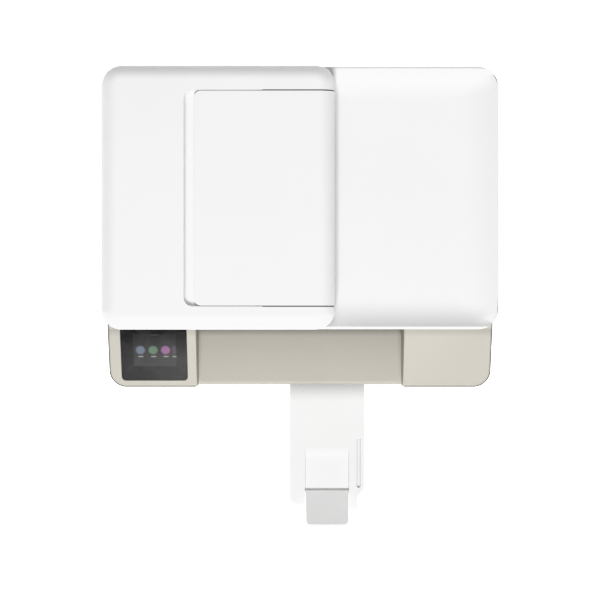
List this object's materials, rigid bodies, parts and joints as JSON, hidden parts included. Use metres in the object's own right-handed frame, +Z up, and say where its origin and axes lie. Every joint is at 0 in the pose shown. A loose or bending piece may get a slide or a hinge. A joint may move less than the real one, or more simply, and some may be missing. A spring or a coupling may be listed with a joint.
{
  "type": "inkjet printer",
  "caption": "All-in-one inkjet printer: sheet feeder on a scanner lid with a moulded scoop, paper drawer, touch screen, and an output tray whose arm slides out and ends in a fold-up stop.",
  "frame": {"origin": "centre of the bounding box on the level of the feet, with the tray's arm out and its stop up", "axes": "+X to the right of someone facing the printer, +Y to its back, +Z up"},
  "size_m": [0.46, 0.553, 0.233],
  "materials": {
    "white_shell": "satin",
    "beige_shell": "satin",
    "grey_plastic": "matt",
    "guide_plastic": "matt",
    "black_plastic": "matt",
    "screen_glass": "gloss",
    "display": "gloss",
    "button": "satin",
    "clear_glass": "polished",
    "white_pad": "matt",
    "steel": "brushed",
    "hinge_plastic": "matt",
    "gear_plastic": "satin",
    "rubber": "matt",
    "circuit_board": "satin"
  },
  "bodies": {
    "base": {"left_housing": "beige_shell", "right_housing": "beige_shell", "touch_glass": "screen_glass", "display_panel": "display", "bottom_pan": "grey_plastic", "rubber_feet": "rubber", "case_screws": "steel", "front_beam": "beige_shell", "rear_cover": "beige_shell", "power_inlet": "black_plastic", "data_socket": "steel", "main_board": "circuit_board", "power_supply": "black_plastic", "output_tray": "beige_shell", "side_frames": "steel", "drive_motors": "steel", "guide_rod": "steel", "carriage_rail": "steel", "drive_belt": "rubber", "platen": "black_plastic", "service_station": "black_plastic", "star_wheel_bar": "black_plastic"},
    "rear_door": {"rear_door": "beige_shell"},
    "power_button": {"power_button": "button"},
    "extender": {"tray_extender": "white_shell"},
    "paper_stop": {"tray_stop": "white_shell"},
    "drawer": {"paper_tray": "grey_plastic", "tray_front": "beige_shell"},
    "width_guide_left": {"width_guide_left": "guide_plastic"},
    "width_guide_right": {"width_guide_right": "guide_plastic"},
    "length_guide": {"length_guide": "guide_plastic"},
    "feed_roller": {"feed_roller": "rubber"},
    "idler_gear": {"idler_gear": "gear_plastic"},
    "exit_roller": {"exit_roller": "rubber"},
    "motor_pinion": {"motor_pinion": "gear_plastic"},
    "pinch_rollers": {"pinch_rollers": "rubber"},
    "star_wheels": {"star_wheels": "gear_plastic"},
    "pick_arm": {"pick_arm": "black_plastic"},
    "pick_roller": {"pick_roller": "rubber"},
    "carriage": {"carriage": "black_plastic", "ink_cartridges": "black_plastic"},
    "drive_pulley": {"drive_pulley": "gear_plastic"},
    "idler_pulley": {"idler_pulley": "gear_plastic"},
    "scanner": {"scanner_tub": "white_shell", "scanner_bezel": "grey_plastic", "scanner_glass": "clear_glass", "scan_rod": "steel", "lid_hinges": "hinge_plastic"},
    "scan_bar": {"scan_bar": "black_plastic"},
    "lid": {"lid_shell": "white_shell", "lid_liner": "grey_plastic", "document_pad": "white_pad", "adf_frame": "grey_plastic"},
    "adf_pick_roller": {"adf_pick_roller": "rubber"},
    "adf_turn_roller": {"adf_turn_roller": "rubber"},
    "adf_exit_roller": {"adf_exit_roller": "rubber"},
    "adf_guide_front": {"adf_guide_front": "guide_plastic"},
    "adf_guide_rear": {"adf_guide_rear": "guide_plastic"},
    "adf_cover": {"adf_cover": "white_shell"},
    "adf_flap": {"adf_flap": "white_shell"}
  },
  "joints": [
    {"name": "scanner_lift", "type": "hinge", "parent": "base", "child": "scanner", "pos_m": [0, 0.26099, 0.1446], "axis": [-1, 0, 0], "range_deg": [0, 28]},
    {"name": "lid_open", "type": "hinge", "parent": "scanner", "child": "lid", "pos_m": [0, 0.26499, 0.1792], "axis": [-1, 0, 0], "range_deg": [0, 85]},
    {"name": "scan_travel", "type": "slide", "parent": "scanner", "child": "scan_bar", "axis": [1, 0, 0], "range_m": [0, 0.342]},
    {"name": "adf_cover_open", "type": "hinge", "parent": "lid", "child": "adf_cover", "pos_m": [-0.2226, 0, 0.1998], "axis": [0, -1, 0], "range_deg": [0, 70]},
    {"name": "adf_flap_open", "type": "hinge", "parent": "adf_cover", "child": "adf_flap", "pos_m": [0.0235, 0, 0.216], "axis": [0, 1, 0], "range_deg": [0, 150]},
    {"name": "adf_guide_front_slide", "type": "slide", "parent": "lid", "child": "adf_guide_front", "axis": [0, 1, 0], "range_m": [0, 0.035]},
    {"name": "adf_guide_rear_slide", "type": "slide", "parent": "lid", "child": "adf_guide_rear", "axis": [0, -1, 0], "range_m": [0, 0.035]},
    {"name": "adf_turn_spin", "type": "hinge", "parent": "lid", "child": "adf_turn_roller", "pos_m": [-0.187, 0, 0.209], "axis": [0, 1, 0], "continuous": true},
    {"name": "adf_pick_spin", "type": "hinge", "parent": "lid", "child": "adf_pick_roller", "pos_m": [-0.152, 0, 0.2167], "axis": [0, 1, 0], "continuous": true},
    {"name": "adf_exit_spin", "type": "hinge", "parent": "lid", "child": "adf_exit_roller", "pos_m": [-0.12, 0, 0.196], "axis": [0, 1, 0], "continuous": true},
    {"name": "drawer_pull", "type": "slide", "parent": "base", "child": "drawer", "axis": [0, -1, 0], "range_m": [0, 0.22]},
    {"name": "width_guide_left_slide", "type": "slide", "parent": "drawer", "child": "width_guide_left", "axis": [1, 0, 0], "range_m": [0, 0.0575]},
    {"name": "width_guide_right_slide", "type": "slide", "parent": "drawer", "child": "width_guide_right", "axis": [-1, 0, 0], "range_m": [0, 0.0575]},
    {"name": "length_guide_slide", "type": "slide", "parent": "drawer", "child": "length_guide", "axis": [0, 1, 0], "range_m": [0, 0.145]},
    {"name": "extender_pull", "type": "slide", "parent": "base", "child": "extender", "axis": [0, 1, 0], "range_m": [0, 0.118]},
    {"name": "stop_fold", "type": "hinge", "parent": "extender", "child": "paper_stop", "pos_m": [0.0331, -0.23701, 0.0597], "axis": [-1, 0, 0], "range_deg": [0, 145]},
    {"name": "rear_door_open", "type": "hinge", "parent": "base", "child": "rear_door", "pos_m": [0, 0.26399, 0.042], "axis": [-1, 0, 0], "range_deg": [0, 75]},
    {"name": "power_press", "type": "slide", "parent": "base", "child": "power_button", "axis": [0, -1, 0], "range_m": [0, 0.0015], "stiffness_N_per_m": 700},
    {"name": "feed_spin", "type": "hinge", "parent": "base", "child": "feed_roller", "pos_m": [0, 0.12799, 0.078], "axis": [1, 0, 0], "continuous": true},
    {"name": "idler_spin", "type": "hinge", "parent": "base", "child": "idler_gear", "pos_m": [0, 0.09199, 0.078], "axis": [1, 0, 0], "continuous": true},
    {"name": "exit_spin", "type": "hinge", "parent": "base", "child": "exit_roller", "pos_m": [0, 0.05999, 0.078], "axis": [1, 0, 0], "continuous": true},
    {"name": "pinion_spin", "type": "hinge", "parent": "base", "child": "motor_pinion", "pos_m": [0, 0.14355, 0.06244], "axis": [1, 0, 0], "continuous": true},
    {"name": "pinch_spin", "type": "hinge", "parent": "base", "child": "pinch_rollers", "pos_m": [0, 0.12799, 0.0883], "axis": [1, 0, 0], "continuous": true},
    {"name": "star_spin", "type": "hinge", "parent": "base", "child": "star_wheels", "pos_m": [0, 0.05999, 0.0888], "axis": [1, 0, 0], "continuous": true},
    {"name": "pick_swing", "type": "hinge", "parent": "base", "child": "pick_arm", "pos_m": [0, 0.16499, 0.07], "axis": [1, 0, 0], "range_deg": [0, 32]},
    {"name": "pick_spin", "type": "hinge", "parent": "pick_arm", "child": "pick_roller", "pos_m": [0, 0.19299, 0.026], "axis": [1, 0, 0], "continuous": true},
    {"name": "carriage_travel", "type": "slide", "parent": "base", "child": "carriage", "axis": [-1, 0, 0], "range_m": [0, 0.31]},
    {"name": "drive_pulley_spin", "type": "hinge", "parent": "base", "child": "drive_pulley", "pos_m": [-0.198, 0.13699, 0.1159], "axis": [0, 0, 1], "range_deg": [-3556, 0]},
    {"name": "idler_pulley_spin", "type": "hinge", "parent": "base", "child": "idler_pulley", "pos_m": [0.204, 0.13699, 0.1159], "axis": [0, 0, 1], "range_deg": [-3556, 0]}
  ],
  "couplings": [
    {"joint": "idler_spin", "follows": "feed_spin", "ratio": -0.8},
    {"joint": "exit_spin", "follows": "feed_spin", "ratio": 1.3333},
    {"joint": "pinion_spin", "follows": "feed_spin", "ratio": -2.6667},
    {"joint": "pinch_spin", "follows": "feed_spin", "ratio": -1.5},
    {"joint": "star_spin", "follows": "feed_spin", "ratio": -1.7778},
    {"joint": "pick_spin", "follows": "feed_spin", "ratio": 0.5},
    {"joint": "drive_pulley_spin", "follows": "carriage_travel", "rad_per_m": -200},
    {"joint": "idler_pulley_spin", "follows": "carriage_travel", "rad_per_m": -200},
    {"joint": "adf_pick_spin", "follows": "adf_turn_spin", "ratio": -1.2},
    {"joint": "adf_exit_spin", "follows": "adf_turn_spin", "ratio": -3.75},
    {"joint": "adf_guide_rear_slide", "follows": "adf_guide_front_slide", "ratio": 1},
    {"joint": "width_guide_right_slide", "follows": "width_guide_left_slide", "ratio": 1}
  ]
}
